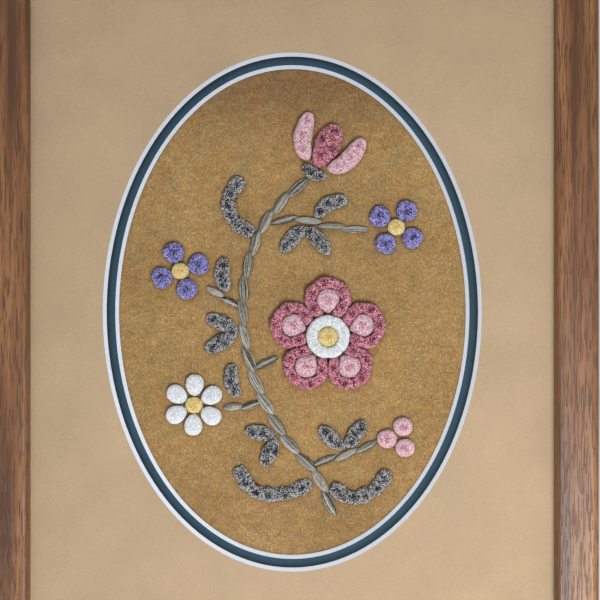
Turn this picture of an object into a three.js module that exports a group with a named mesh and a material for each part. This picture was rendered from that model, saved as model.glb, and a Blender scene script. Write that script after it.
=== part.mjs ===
// A framed piece of moose hair tufting: dyed hair is bunched, stitched down and clipped into mounds on a
// suede hide, behind two bevelled oval mats, in a plain mitred wooden frame with a backing board.
//
// Millimetres, +Z up, seen from the front along +Y, so the picture faces -Y. The wall plane is y = 0.
// The origin is on the top rail's back face, midway along it, where the picture meets its wall.
import * as THREE from "three";

// The package of boards: an 8 x 10 inch mat with a 5 x 7 inch oval
const MAT_WIDTH = 203.2;
const MAT_HEIGHT = 254;
const HIDE_OVAL_WIDTH = 127;
const HIDE_OVAL_HEIGHT = 178;
const MAT_BOARD = 1.5;
const BEVEL = 1.5;
const UNDER_MAT_REVEAL = 2.8;
const HIDE_THICKNESS = 1.5;
const BACKING_THICKNESS = 4.8;
const FIT_GAP = 0.3;

// The frame's moulding
const RAIL_WIDTH = 15.5;
const RAIL_DEPTH = 18;
const LIP_THICKNESS = 6;
const LIP_OVERLAP = 6.35;
const SIGHT_ROUND = 1.8;
const OUTER_ROUND = 2.6;

// How finely round shapes are stepped
const OVAL_STEPS = 72;
const ROUND_STEPS = 8;

// How mounds are clipped: BEND_SHARE is the part of a bend's radius that they fill on its inside, and a
// smaller SHOULDER makes them steeper at their edges
const BEND_SHARE = 0.8;
const SHOULDER = 0.6;
const ONE_BUNCH = { bunches: 1, pinch: 0, tip: 1, lean: 0, rows: 9, across: 7 };

// Depths, from the front of the boards to the back
const LIP_BACK_Y = -(RAIL_DEPTH - LIP_THICKNESS);
const TOP_MAT_Y = LIP_BACK_Y + FIT_GAP;
const UNDER_MAT_Y = TOP_MAT_Y + MAT_BOARD + FIT_GAP;
const HIDE_Y = UNDER_MAT_Y + MAT_BOARD + FIT_GAP;
const BACKING_Y = HIDE_Y + HIDE_THICKNESS + FIT_GAP;
const TUFT_BASE_Y = HIDE_Y - FIT_GAP;

// The sight opening, and where the picture's centre hangs below the origin
const SIGHT_WIDTH = MAT_WIDTH - 2 * LIP_OVERLAP;
const SIGHT_HEIGHT = MAT_HEIGHT - 2 * LIP_OVERLAP;
const RABBET = LIP_OVERLAP + FIT_GAP;
const CENTRE_DROP = SIGHT_HEIGHT / 2 + (RABBET + RAIL_WIDTH) / 2;

const picture = new THREE.Group();
picture.position.z = -CENTRE_DROP;

const finish = (color, roughness) => new THREE.MeshStandardMaterial({ color, roughness, metalness: 0 });
const wood = finish("#8a6440", 0.5);
const board = finish("#b8a888", 0.9);
const suede = finish("#a5824f", 0.95);
const tealCard = finish("#2c4b5c", 0.85);
const tanCard = finish("#c0a37c", 0.85);
const deepPink = finish("#b8506c", 0.9);
const palePink = finish("#dc97a6", 0.9);
const white = finish("#e4e8ea", 0.9);
const yellow = finish("#e0bf55", 0.9);
const violet = finish("#6a62b4", 0.9);
const grey = finish("#76766f", 0.9);
const olive = finish("#857f67", 0.8);

function addPiece(name, geometry, material) {
  const mesh = new THREE.Mesh(geometry, material);
  mesh.name = name;
  picture.add(mesh);
  return mesh;
}

// A quarter round of the moulding, from one angle to another in degrees
function roundCorner(centreX, centreY, radius, fromDegrees, toDegrees) {
  return Array.from({ length: ROUND_STEPS + 1 }, (_, i) => {
    const angle = THREE.MathUtils.degToRad(THREE.MathUtils.lerp(fromDegrees, toDegrees, i / ROUND_STEPS));
    return new THREE.Vector2(centreX + radius * Math.cos(angle), centreY + radius * Math.sin(angle));
  });
}

// The moulding's section: x runs out from the sight edge, y is the depth, with the lip in front
const moulding = new THREE.Shape([
  new THREE.Vector2(0, LIP_BACK_Y),
  ...roundCorner(SIGHT_ROUND, SIGHT_ROUND - RAIL_DEPTH, SIGHT_ROUND, 180, 270),
  ...roundCorner(RAIL_WIDTH - OUTER_ROUND, OUTER_ROUND - RAIL_DEPTH, OUTER_ROUND, 270, 360),
  new THREE.Vector2(RAIL_WIDTH, 0),
  new THREE.Vector2(RABBET, 0),
  new THREE.Vector2(RABBET, LIP_BACK_Y),
]);

// A rail cut from the moulding with a mitre at each end, lying below the centre of its picture
function mitredRail(sightLength, sightDrop) {
  const geometry = new THREE.ExtrudeGeometry(moulding, { depth: 1, steps: 1, bevelEnabled: false });
  const place = geometry.attributes.position;
  const mitreInset = (FIT_GAP / 2) * Math.SQRT2;
  for (let i = 0; i < place.count; i += 1) {
    const out = place.getX(i);
    const side = place.getZ(i) > 0.5 ? 1 : -1;
    place.setXYZ(i, side * (sightLength / 2 + out - mitreInset), place.getY(i), -(sightDrop + out));
  }
  return geometry;
}

const longRail = mitredRail(SIGHT_HEIGHT, SIGHT_WIDTH / 2);
const shortRail = mitredRail(SIGHT_WIDTH, SIGHT_HEIGHT / 2);
addPiece("rail_bottom", shortRail, wood);
addPiece("rail_top", shortRail, wood).rotation.y = Math.PI;
addPiece("rail_left", longRail, wood).rotation.y = Math.PI / 2;
addPiece("rail_right", longRail, wood).rotation.y = -Math.PI / 2;

// A flat sheet of the package, from its front face back
function flatSheet(name, frontY, thickness, material) {
  const sheet = addPiece(name, new THREE.BoxGeometry(MAT_WIDTH, thickness, MAT_HEIGHT), material);
  sheet.position.y = frontY + thickness / 2;
}

flatSheet("backing_board", BACKING_Y, BACKING_THICKNESS, board);
flatSheet("hide", HIDE_Y, HIDE_THICKNESS, suede);

// A mat with a bevelled oval, which widens towards the front by the bevel on every side
function ovalMat(name, frontY, backOvalWidth, backOvalHeight, material) {
  const outline = new THREE.Shape();
  outline.moveTo(-MAT_WIDTH / 2, -MAT_HEIGHT / 2);
  outline.lineTo(MAT_WIDTH / 2, -MAT_HEIGHT / 2);
  outline.lineTo(MAT_WIDTH / 2, MAT_HEIGHT / 2);
  outline.lineTo(-MAT_WIDTH / 2, MAT_HEIGHT / 2);
  const oval = Array.from({ length: OVAL_STEPS }, (_, i) => {
    const angle = (-2 * Math.PI * i) / OVAL_STEPS;
    return new THREE.Vector2((backOvalWidth / 2) * Math.cos(angle), (backOvalHeight / 2) * Math.sin(angle));
  });
  outline.holes.push(new THREE.Path(oval));
  const geometry = new THREE.ExtrudeGeometry(outline, { depth: MAT_BOARD, bevelEnabled: false });
  const place = geometry.attributes.position;
  for (let i = 0; i < place.count; i += 1) {
    const inFront = place.getZ(i) > MAT_BOARD / 2;
    const onOval = Math.abs(place.getX(i)) < MAT_WIDTH / 2 - 1;
    if (inFront && onOval) {
      place.setX(i, place.getX(i) * (1 + (2 * BEVEL) / backOvalWidth));
      place.setY(i, place.getY(i) * (1 + (2 * BEVEL) / backOvalHeight));
    }
  }
  geometry.rotateX(Math.PI / 2);
  addPiece(name, geometry, material).position.y = frontY + MAT_BOARD;
}

const UNDER_FACE_OVAL = [HIDE_OVAL_WIDTH + 2 * BEVEL, HIDE_OVAL_HEIGHT + 2 * BEVEL];
ovalMat("mat_under", UNDER_MAT_Y, HIDE_OVAL_WIDTH, HIDE_OVAL_HEIGHT, tealCard);
ovalMat(
  "mat_top",
  TOP_MAT_Y,
  UNDER_FACE_OVAL[0] + 2 * UNDER_MAT_REVEAL,
  UNDER_FACE_OVAL[1] + 2 * UNDER_MAT_REVEAL,
  tanCard,
);

// A clipped mound of hair over a strip of hide. Each row crosses the strip from one edge to the other and
// gives the height over it. The strip closes on itself, or pinches to its first and last points.
function hairMound(rows, { across = 7, endless = false, ends = [] }) {
  const points = [];
  const triangles = [];
  for (const { from, to, height } of rows) {
    for (let j = 0; j < across; j += 1) {
      const turn = (Math.PI * j) / (across - 1);
      const share = (1 - Math.cos(turn)) / 2;
      const rise = j === 0 || j === across - 1 ? 0 : height * Math.sin(turn) ** SHOULDER;
      const spot = from.clone().lerp(to, share);
      points.push([spot.x, TUFT_BASE_Y - rise, spot.y]);
    }
  }
  const joins = endless ? rows.length : rows.length - 1;
  for (let i = 0; i < joins; i += 1) {
    const here = i * across;
    const next = ((i + 1) % rows.length) * across;
    for (let j = 0; j < across; j += 1) {
      const after = (j + 1) % across;
      triangles.push([here + j, next + j, here + after], [here + after, next + j, next + after]);
    }
  }
  ends.forEach((end, k) => {
    const row = k * (rows.length - 1) * across;
    const tip = points.push([end.x, TUFT_BASE_Y, end.y]) - 1;
    for (let j = 0; j < across; j += 1) {
      const pair = [row + j, row + ((j + 1) % across)];
      triangles.push(k === 0 ? [tip, ...pair] : [tip, ...pair.reverse()]);
    }
  });
  const volume = triangles.reduce((sum, corners) => {
    const [a, b, c] = corners.map((corner) => new THREE.Vector3(...points[corner]));
    return sum + a.dot(b.cross(c));
  }, 0);
  const geometry = new THREE.BufferGeometry();
  geometry.setAttribute("position", new THREE.Float32BufferAttribute(points.flat(), 3));
  geometry.setIndex((volume > 0 ? triangles : triangles.map((t) => [...t].reverse())).flat());
  geometry.computeVertexNormals();
  return geometry;
}

// How far a strip may reach towards the inside of its spine's bend, on its left and on its right
function bendRoom(curve, along) {
  const step = 0.01;
  const before = curve.getTangentAt(Math.max(0, along - step));
  const after = curve.getTangentAt(Math.min(1, along + step));
  const turn = before.cross(after) / (2 * step * curve.getLength());
  const room = BEND_SHARE / Math.max(Math.abs(turn), 1e-6);
  return turn > 0 ? [room, Infinity] : [Infinity, room];
}

// A mound along a spine, made of one or more bunches in line. It is pinched between bunches, pointed or
// round at its ends as tip says, and lean makes each bunch fuller towards its far end.
function spineMound(spine, shape) {
  const { width, height, bunches, pinch, tip, lean, rows, across } = { ...ONE_BUNCH, ...shape };
  const curve = new THREE.SplineCurve(spine.map(([u, v]) => new THREE.Vector2(u, v)));
  const strips = [];
  for (let bunch = 0; bunch < bunches; bunch += 1) {
    for (let i = bunch === 0 ? 1 : 0; i < rows; i += 1) {
      const turn = (Math.PI * i) / rows;
      const along = (bunch + (1 - Math.cos(turn)) / 2) / bunches;
      const full = Math.sin(turn) ** tip * (1 - lean * Math.cos(turn));
      const share = bunches > 1 ? Math.max(full, pinch) : full;
      const centre = curve.getPointAt(along);
      const tangent = curve.getTangentAt(along);
      const side = new THREE.Vector2(-tangent.y, tangent.x);
      const [left, right] = bendRoom(curve, along).map((room) => Math.min(room, (share * width) / 2));
      strips.push({
        from: centre.clone().addScaledVector(side, left),
        to: centre.clone().addScaledVector(side, -right),
        height: height * Math.min(1, share) ** SHOULDER,
      });
    }
  }
  return hairMound(strips, { across, ends: [curve.getPointAt(0), curve.getPointAt(1)] });
}

const polar = (centre, radius, degrees) => {
  const angle = THREE.MathUtils.degToRad(degrees);
  return [centre[0] + radius * Math.cos(angle), centre[1] + radius * Math.sin(angle)];
};

// A round mound, such as a flower's centre or a berry
const roundMound = (centre, radius, height) =>
  spineMound([polar(centre, radius, 180), centre, polar(centre, radius, 0)], { width: 2 * radius, height });

// The large bloom: five deep pink horseshoes round pale pink petals, a white ring and a yellow centre
const BLOOM = { centre: [13, -9], petals: 5, firstTurn: 90, ringRadius: 7.6, ringHeight: 4.2, ringSteps: 24 };
const BLOOM_EYE = { radius: 3.9, height: 4.8 };
const INNER_PETAL = { length: 9.4, radius: 4.3, height: 4.2, rows: 9 };
const HORSESHOE = { reach: 8.6, height: 4.4, openTurn: 157, endTurn: 6, rows: 21 };
const petalHeel = INNER_PETAL.length - INNER_PETAL.radius;
const petalHeart = BLOOM.ringRadius + FIT_GAP + petalHeel;

const ringRows = Array.from({ length: BLOOM.ringSteps }, (_, i) => {
  const turn = (360 * i) / BLOOM.ringSteps;
  return {
    from: new THREE.Vector2(...polar(BLOOM.centre, BLOOM_EYE.radius + FIT_GAP, turn)),
    to: new THREE.Vector2(...polar(BLOOM.centre, BLOOM.ringRadius, turn)),
    height: BLOOM.ringHeight,
  };
});

// How far the inner petal's edge is from its heart: round at the far end and tapered to its heel
function petalEdge(turnDegrees) {
  const turn = THREE.MathUtils.degToRad(Math.abs(turnDegrees));
  const forward = Math.cos(turn);
  const taper = 1 / (-forward / petalHeel + Math.sin(turn) / INNER_PETAL.radius);
  return forward > 0 ? INNER_PETAL.radius : taper;
}

function innerPetal(petalTurn) {
  const heart = polar(BLOOM.centre, petalHeart, petalTurn);
  const edge = (turn) => new THREE.Vector2(...polar(heart, petalEdge(turn), petalTurn + turn));
  const rows = Array.from({ length: INNER_PETAL.rows }, (_, i) => {
    const turn = 180 - (180 * (i + 1)) / (INNER_PETAL.rows + 1);
    const share = Math.sin(THREE.MathUtils.degToRad(turn));
    return { from: edge(turn), to: edge(-turn), height: INNER_PETAL.height * share ** SHOULDER };
  });
  return hairMound(rows, { ends: [edge(180), edge(0)] });
}

// A horseshoe bends round the full end of its inner petal and fills the bloom's sector beside it, down to
// the white ring, where it narrows and gets lower
function horseshoe(petalTurn) {
  const heart = polar(BLOOM.centre, petalHeart, petalTurn);
  const sectorSlope = Math.tan(Math.PI / BLOOM.petals);
  const outerEdge = (turnDegrees) => {
    const turn = THREE.MathUtils.degToRad(Math.abs(turnDegrees));
    const slant = Math.sin(turn) - Math.cos(turn) * sectorSlope;
    const sectorEdge = slant > 0 ? (petalHeart * sectorSlope - FIT_GAP) / slant : Infinity;
    const inward = -petalHeart * Math.cos(turn);
    const chord = inward ** 2 - petalHeart ** 2 + (BLOOM.ringRadius + FIT_GAP) ** 2;
    const ringEdge = inward > 0 && chord > 0 ? inward - Math.sqrt(chord) : Infinity;
    return Math.min(HORSESHOE.reach, sectorEdge, ringEdge);
  };
  const innerEdge = (turnDegrees) => petalEdge(turnDegrees) + 2 * FIT_GAP;
  const spot = (turn, distance) => new THREE.Vector2(...polar(heart, distance, petalTurn + turn));
  const rows = Array.from({ length: HORSESHOE.rows }, (_, i) => {
    const turn = HORSESHOE.openTurn * ((2 * i) / (HORSESHOE.rows - 1) - 1);
    const share = (outerEdge(turn) - innerEdge(turn)) / (outerEdge(0) - innerEdge(0));
    return {
      from: spot(turn, innerEdge(turn)),
      to: spot(turn, outerEdge(turn)),
      height: HORSESHOE.height * Math.min(1, share) ** SHOULDER,
    };
  });
  const ends = [-1, 1].map((side) => {
    const turn = side * (HORSESHOE.openTurn + HORSESHOE.endTurn);
    return spot(turn, (innerEdge(turn) + outerEdge(turn)) / 2);
  });
  return hairMound(rows, { ends });
}

addPiece("bloom_centre", roundMound(BLOOM.centre, BLOOM_EYE.radius, BLOOM_EYE.height), yellow);
addPiece("bloom_ring", hairMound(ringRows, { endless: true, across: 6 }), white);
for (let i = 0; i < BLOOM.petals; i += 1) {
  const turn = BLOOM.firstTurn + (360 * i) / BLOOM.petals;
  addPiece(`bloom_outer_${i + 1}`, horseshoe(turn), deepPink);
  addPiece(`bloom_inner_${i + 1}`, innerPetal(turn), palePink);
}

// The small open flowers: a yellow centre, and petals that point away from it
const SMALL_PETAL = { height: 3.4, lean: 0.2 };
const SMALL_EYE_HEIGHT = 3.6;
const OPEN_FLOWERS = [
  { name: "floret_left", centre: [-41, 15], petals: 4, turn: 20, eye: 2.9, long: 7.4, wide: 8, dye: violet },
  { name: "floret_right", centre: [38, 31], petals: 4, turn: 57, eye: 2.9, long: 7.4, wide: 8, dye: violet },
  { name: "star", centre: [-36, -34], petals: 6, turn: 28, eye: 3, long: 7.8, wide: 6.6, dye: white },
];
for (const { name, centre, petals, turn, eye, long, wide, dye } of OPEN_FLOWERS) {
  addPiece(`${name}_centre`, roundMound(centre, eye, SMALL_EYE_HEIGHT), yellow);
  for (let i = 0; i < petals; i += 1) {
    const degrees = turn + (360 * i) / petals;
    const spine = [0, 0.5, 1].map((share) => polar(centre, eye + FIT_GAP + share * long, degrees));
    addPiece(`${name}_petal_${i + 1}`, spineMound(spine, { ...SMALL_PETAL, width: wide }), dye);
  }
}

// The tulip seen from its side, leaning right: its spines run along and across its axis, from its foot
const TULIP = { foot: [7.6, 50.4], lean: 64, petalHeight: 3.9, cupHeight: 3.2 };
const SIDE_PETAL = [[3.9, 3.8], [8, 8.4], [13, 10], [20, 11]];
const TULIP_CUP = [[1.7, 4.6], [0.5, 2.4], [0.2, 0], [0.5, -2.4], [1.7, -4.6]];
const onTulip = ([along, aside]) => polar(polar(TULIP.foot, along, TULIP.lean), aside, TULIP.lean + 90);
const otherSide = ([along, aside]) => [along, -aside];
const sidePetal = { width: 7, height: TULIP.petalHeight };
const heartPetal = { width: 9.6, height: 4.4, lean: 0.15 };
addPiece("tulip_heart", spineMound([[2.8, 0], [11, 0], [20, 0]].map(onTulip), heartPetal), deepPink);
addPiece("tulip_left", spineMound(SIDE_PETAL.map(onTulip), sidePetal), palePink);
addPiece("tulip_right", spineMound(SIDE_PETAL.map(otherSide).map(onTulip), sidePetal), palePink);
addPiece("tulip_cup", spineMound(TULIP_CUP.map(onTulip), { width: 4, height: TULIP.cupHeight }), grey);

// Berries at the end of the low branch
const BERRY = { radius: 3.5, height: 3.7 };
const BERRY_CENTRES = [[34.6, -46.4], [40.5, -41.9], [41.2, -49.7]];
BERRY_CENTRES.forEach((centre, i) => {
  addPiece(`berry_${i + 1}`, roundMound(centre, BERRY.radius, BERRY.height), palePink);
});

// A leaf is one clipped bunch, a pair of leaves two that meet at the stem, and a spray three in line
const LEAF = { height: 3.2, tip: 1.1, width: 5.6 };
const LEAF_KINDS = {
  leaf: { bunches: 1 },
  leaves: { bunches: 2, pinch: 0.3 },
  spray: { bunches: 3, pinch: 0.76 },
};
const LEAVES = [
  { kind: "spray", place: "foot_left", spine: [[7, -62.6], [-3, -66.6], [-14, -65.4], [-20, -57]] },
  { kind: "spray", place: "foot_right", spine: [[14.6, -64], [22, -68], [30, -65], [35, -58.4]] },
  { kind: "leaves", place: "low_left", spine: [[-17.4, -43.4], [-6.9, -46.2], [-10.8, -56.4]] },
  { kind: "leaf", place: "star", spine: [[-19.6, -31], [-22.4, -26], [-22, -18.8]] },
  { kind: "leaves", place: "mid_left", spine: [[-31.6, -1.6], [-21, -7.4], [-32, -14]] },
  { kind: "leaf", place: "floret_left", spine: [[-23.6, 7.6], [-25.8, 13], [-24.6, 20]] },
  { kind: "spray", place: "high_left", spine: [[-14.6, 29], [-21, 33], [-23.4, 41], [-18.6, 49]] },
  { kind: "leaf", place: "branch_up", spine: [[8.4, 34.6], [13.6, 39.8], [20.6, 41]] },
  { kind: "leaves", place: "branch_down", spine: [[-4, 22], [4.6, 30.2], [13.6, 21.2]] },
  { kind: "leaves", place: "berry", spine: [[10, -42], [18.8, -49], [26.4, -39.8]] },
];
for (const { kind, place, spine } of LEAVES) {
  addPiece(`${kind}_${place}`, spineMound(spine, { ...LEAF, ...LEAF_KINDS[kind] }), grey);
}

// Stems: bundles of hair laid end to end and pinched down by a stitch between one and the next
const STEM = { height: 1.9, pinch: 0.42, tip: 0.8, rows: 4, across: 5 };
const MAIN_STEM = [
  [15, -74],
  [9, -60],
  [-2, -47],
  [-12, -29],
  [-17.6, -9],
  [-17.4, 12],
  [-11, 31],
  [-1, 43],
  [5.8, 48],
];
const SIDE_STEMS = [
  { place: "bloom", bunches: 1, spine: [[-13.4, -20.6], [-9.8, -18.6], [-5.4, -17.4]] },
  { place: "floret_left", bunches: 2, spine: [[-20.3, 1.8], [-25.4, 5.4], [-31, 9.4]] },
  { place: "floret_right", bunches: 4, spine: [[-7.4, 33.2], [3.4, 33.8], [15, 31.2], [27.4, 29.8]] },
  { place: "star", bunches: 2, spine: [[-12.2, -33.6], [-19, -34.8], [-25, -34.4]] },
  { place: "berry", bunches: 3, spine: [[8.1, -55.4], [18.6, -52.6], [30.8, -48]] },
];
addPiece("stem_main", spineMound(MAIN_STEM, { ...STEM, bunches: 16, width: 3.7 }), olive);
for (const { place, bunches, spine } of SIDE_STEMS) {
  addPiece(`stem_${place}`, spineMound(spine, { ...STEM, bunches, width: 2.8 }), olive);
}

const framedTufting = new THREE.Group();
framedTufting.add(picture);
export default framedTufting;
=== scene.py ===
import math

import bpy
import bmesh
import numpy as np
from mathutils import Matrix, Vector, noise


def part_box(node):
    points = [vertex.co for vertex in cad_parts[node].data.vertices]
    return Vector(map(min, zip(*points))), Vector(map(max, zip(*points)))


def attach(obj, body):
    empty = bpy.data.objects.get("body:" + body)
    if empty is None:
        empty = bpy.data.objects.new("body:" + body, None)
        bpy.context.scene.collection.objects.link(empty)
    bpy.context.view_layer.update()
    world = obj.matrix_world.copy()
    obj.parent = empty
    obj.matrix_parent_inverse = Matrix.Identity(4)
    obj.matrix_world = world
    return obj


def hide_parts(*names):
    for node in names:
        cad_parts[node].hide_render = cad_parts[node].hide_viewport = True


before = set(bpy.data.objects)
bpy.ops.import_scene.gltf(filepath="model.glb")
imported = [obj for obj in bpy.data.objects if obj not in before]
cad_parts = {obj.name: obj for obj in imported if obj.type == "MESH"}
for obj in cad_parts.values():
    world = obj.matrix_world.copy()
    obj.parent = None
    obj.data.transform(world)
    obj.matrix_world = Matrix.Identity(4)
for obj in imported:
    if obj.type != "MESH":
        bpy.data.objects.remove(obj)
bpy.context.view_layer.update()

# The camera
# It stands straight in front of the picture, a little over half a metre away, and takes in 220 mm
# at the face of the hide. The oval lies a few millimetres left of and below the middle of the view.
VIEW_WIDTH = 0.220
VIEW_RIGHT, VIEW_UP = 0.0028, 0.0044
LENS, FILM = 85, 36

hide_low, hide_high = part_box("hide")
HIDE_FRONT = hide_low.y
OVAL_CENTRE = (hide_low + hide_high) / 2

camera = bpy.data.objects.new("camera", bpy.data.cameras.new("camera"))
camera.data.lens = LENS
camera.data.sensor_width = FILM
camera.location = (VIEW_RIGHT, HIDE_FRONT - VIEW_WIDTH * LENS / FILM, OVAL_CENTRE.z + VIEW_UP)
camera.rotation_euler = (math.pi / 2, 0, 0)
bpy.context.scene.collection.objects.link(camera)
bpy.context.scene.camera = camera
bpy.context.scene.view_settings.view_transform = "Standard"


# The floor and the light
# The picture hangs on a wall, well above a pale floor. One wide soft lamp stands low in front to the
# right, so that the picture darkens towards its top left. Two more give form, and two light the floor.
FLOOR_DROP = 0.45
FLOOR_HALF = 9.0
FLOOR_MOTTLE = 0.4
ROOM_LIGHT, ROOM_SEEN = 0.375, 0.57  # the room's brightness on the picture, and behind it in the view
ROOM_TINT = (0.93, 0.95, 1.0, 1.0)
LAMPS = {
    # name: (place, width, power, the point it faces)
    "front_lamp": ((0.13, -0.50, -0.355), 0.18, 2.55, (0.13, 0, -0.355)),
    "high_lamp": ((-0.35, -1.1, 0.75), 0.5, 2.2, OVAL_CENTRE),
    "back_lamp": ((-0.6, 1.1, 0.5), 0.8, 9.0, OVAL_CENTRE),
    "floor_lamp": ((0, 1.9, 2.6), 2.4, 28, (0, 1.9, 0)),
}
OVERHEAD_POWER, OVERHEAD_SPREAD = 0.75, 0.2


def node(tree, kind, inputs=None, **settings):
    """A new node in a tree, with its settings, and its inputs set or joined to other sockets."""
    made = tree.nodes.new(kind)
    for name, value in settings.items():
        setattr(made, name, value)
    for name, value in (inputs or {}).items():
        if isinstance(value, bpy.types.NodeSocket):
            tree.links.new(value, made.inputs[name])
        else:
            made.inputs[name].default_value = value
    return made


def finish(name, roughness):
    """A new material of this roughness, with its node tree and its surface shader."""
    material = bpy.data.materials.new(name)
    material.use_nodes = True
    shader = material.node_tree.nodes["Principled BSDF"]
    shader.inputs["Roughness"].default_value = roughness
    return material, material.node_tree, shader


def dye(red, green, blue):
    """A colour from its 0 to 255 values, as a shader takes it."""
    return tuple((value / 255) ** 2.2 for value in (red, green, blue)) + (1.0,)


def ramp(tree, share, stops):
    """A colour that runs through the stops, (place, colour), as the share goes from 0 to 1."""
    made = node(tree, "ShaderNodeValToRGB", {"Fac": share})
    points = made.color_ramp.elements
    while len(points) < len(stops):
        points.new(0.5)
    for point, (place, tint) in zip(points, stops):
        point.position, point.color = place, tint
    return made.outputs["Color"]


def patch(tree, size, detail=3, stretch=(1, 1, 1)):
    """Soft random patches about size metres across, fixed to the piece and stretched by axis."""
    place = node(tree, "ShaderNodeTexCoord").outputs["Object"]
    scale = [1 / (size * by) for by in stretch]
    place = node(tree, "ShaderNodeMapping", {"Vector": place, "Scale": scale}).outputs["Vector"]
    return node(tree, "ShaderNodeTexNoise", {"Vector": place, "Scale": 1, "Detail": detail}).outputs["Fac"]


def between(tree, value, low, high, at_low=0.0, at_high=1.0, way="LINEAR"):
    """How far the value is from low to high, as a number from at_low to at_high."""
    return node(tree, "ShaderNodeMapRange", {"Value": value, "From Min": low, "From Max": high,
                                             "To Min": at_low, "To Max": at_high},
                interpolation_type=way).outputs[0]


floor_z = hide_low.z - FLOOR_DROP
floor_mesh = bpy.data.meshes.new("floor")
corners = [(-1, -1), (1, -1), (1, 1), (-1, 1)]
floor_mesh.from_pydata([(x * FLOOR_HALF, y * FLOOR_HALF, floor_z) for x, y in corners], [], [(0, 1, 2, 3)])
floor = bpy.data.objects.new("floor", floor_mesh)
bpy.context.scene.collection.objects.link(floor)
floor_paint, tree, shader = finish("floor_paint", roughness=0.8)
tone = ramp(tree, patch(tree, FLOOR_MOTTLE), [(0.3, dye(232, 231, 229)), (0.7, dye(238, 237, 235))])
tree.links.new(tone, shader.inputs["Base Color"])
floor_mesh.materials.append(floor_paint)

world = bpy.data.worlds.new("studio")
world.use_nodes = True
tree = world.node_tree
room = tree.nodes["Background"]
room.inputs["Color"].default_value = ROOM_TINT
seen = node(tree, "ShaderNodeLightPath").outputs["Is Camera Ray"]
tree.links.new(between(tree, seen, 0, 1, ROOM_LIGHT, ROOM_SEEN), room.inputs["Strength"])
bpy.context.scene.world = world

for name, (place, width, power, aim) in LAMPS.items():
    light = bpy.data.lights.new(name, "AREA")
    light.size, light.energy = width, power
    lamp = bpy.data.objects.new(name, light)
    lamp.location = place
    lamp.rotation_euler = (Vector(aim) - Vector(place)).to_track_quat("-Z", "Y").to_euler()
    bpy.context.scene.collection.objects.link(lamp)
overhead = bpy.data.lights.new("overhead_light", "SUN")
overhead.energy, overhead.angle = OVERHEAD_POWER, OVERHEAD_SPREAD
bpy.context.scene.collection.objects.link(bpy.data.objects.new("overhead_light", overhead))


# The wooden frame
# Four rails of one plain moulding, mitred and glued at the corners, stained brown and waxed.
# The grain runs along each rail.
WOOD_DARK, WOOD_MID, WOOD_LIGHT = dye(84, 54, 33), dye(122, 82, 50), dye(150, 106, 68)
BAND_WIDTH = 0.005
PORE_WIDTH, PORE_DEPTH = 0.00035, 0.00006
GRAIN_LENGTH = 22


def blend(tree, share, under, over, way="MIX"):
    """One colour laid over another by a share, or multiplied into it."""
    made = node(tree, "ShaderNodeMix", {0: share, 6: under, 7: over}, data_type="RGBA", blend_type=way)
    return made.outputs[2]


def relief(tree, shader, height, depth):
    """Raises the surface by depth metres where the height is 1."""
    bump = node(tree, "ShaderNodeBump", {"Height": height, "Distance": depth, "Strength": 1})
    tree.links.new(bump.outputs["Normal"], shader.inputs["Normal"])


def stained_wood(name, stretch):
    """Brown wood with its grain stretched along one axis."""
    material, tree, shader = finish(name, roughness=0.42)
    bands = patch(tree, BAND_WIDTH, detail=4, stretch=stretch)
    grain = ramp(tree, bands, [(0.32, WOOD_DARK), (0.5, WOOD_MID), (0.7, WOOD_LIGHT)])
    filled = between(tree, patch(tree, PORE_WIDTH, detail=1, stretch=stretch), 0.36, 0.46)
    tree.links.new(blend(tree, filled, WOOD_DARK, grain), shader.inputs["Base Color"])
    relief(tree, shader, filled, PORE_DEPTH)
    return material


wood_across = stained_wood("wood_across", (GRAIN_LENGTH, 1, 1))
wood_upright = stained_wood("wood_upright", (1, 1, GRAIN_LENGTH))
for rail, wood in (("rail_top", wood_across), ("rail_bottom", wood_across),
                   ("rail_left", wood_upright), ("rail_right", wood_upright)):
    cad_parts[rail].material_slots[0].material = wood


# The backing board
# A sheet of brown card that closes the frame behind the hide. Its pulp shows as short fibres.
FIBRE_WIDTH, FIBRE_STRETCH, FIBRE_DEPTH = 0.0007, (5, 1, 1), 0.00005
CARD_CLOUD, CARD_CLOUD_SHARE = 0.03, 0.3


def maths(tree, operation, *values):
    """The result of one sum on numbers."""
    return node(tree, "ShaderNodeMath", dict(enumerate(values)), operation=operation).outputs[0]


card, tree, shader = finish("backing_card", roughness=0.9)
fibres = patch(tree, FIBRE_WIDTH, detail=4, stretch=FIBRE_STRETCH)
pulp = maths(tree, "MULTIPLY_ADD", patch(tree, CARD_CLOUD, detail=2), CARD_CLOUD_SHARE, fibres)
tone = ramp(tree, pulp, [(0.4, dye(148, 124, 93)), (0.9, dye(176, 151, 116))])
tree.links.new(tone, shader.inputs["Base Color"])
relief(tree, shader, fibres, FIBRE_DEPTH)
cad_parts["backing_board"].material_slots[0].material = card


# The hide
# Smoke-tanned skin, nap outwards, stretched flat over the backing. Golden flecks lie over soft clouds of
# more orange and more olive tan. Painted shade darkens it towards its top, under the mats, and round the
# hair;
# it is also a little darker towards its bottom.
HIDE_STEP = 0.0020
HIDE_WAVE, HIDE_WAVES_A_METRE = 0.00010, 45
FLECK, FLECK_DEPTH = 0.0008, 0.00016
STREAK, STREAK_STRETCH, STREAK_SHARE = 0.0022, (1.6, 1, 1), 0.5
CLOUD, CLOUD_SHARE = 0.026, 0.35
GOLD_FLECK, GOLD_SHARE, GOLD = 0.00052, 0.30, dye(206, 178, 122)
WARM_FLECK, WARM_STRETCH, WARM_SHARE = 0.0030, (1.3, 1, 1), 0.6
WARM_CLOUD = 0.011
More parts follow.
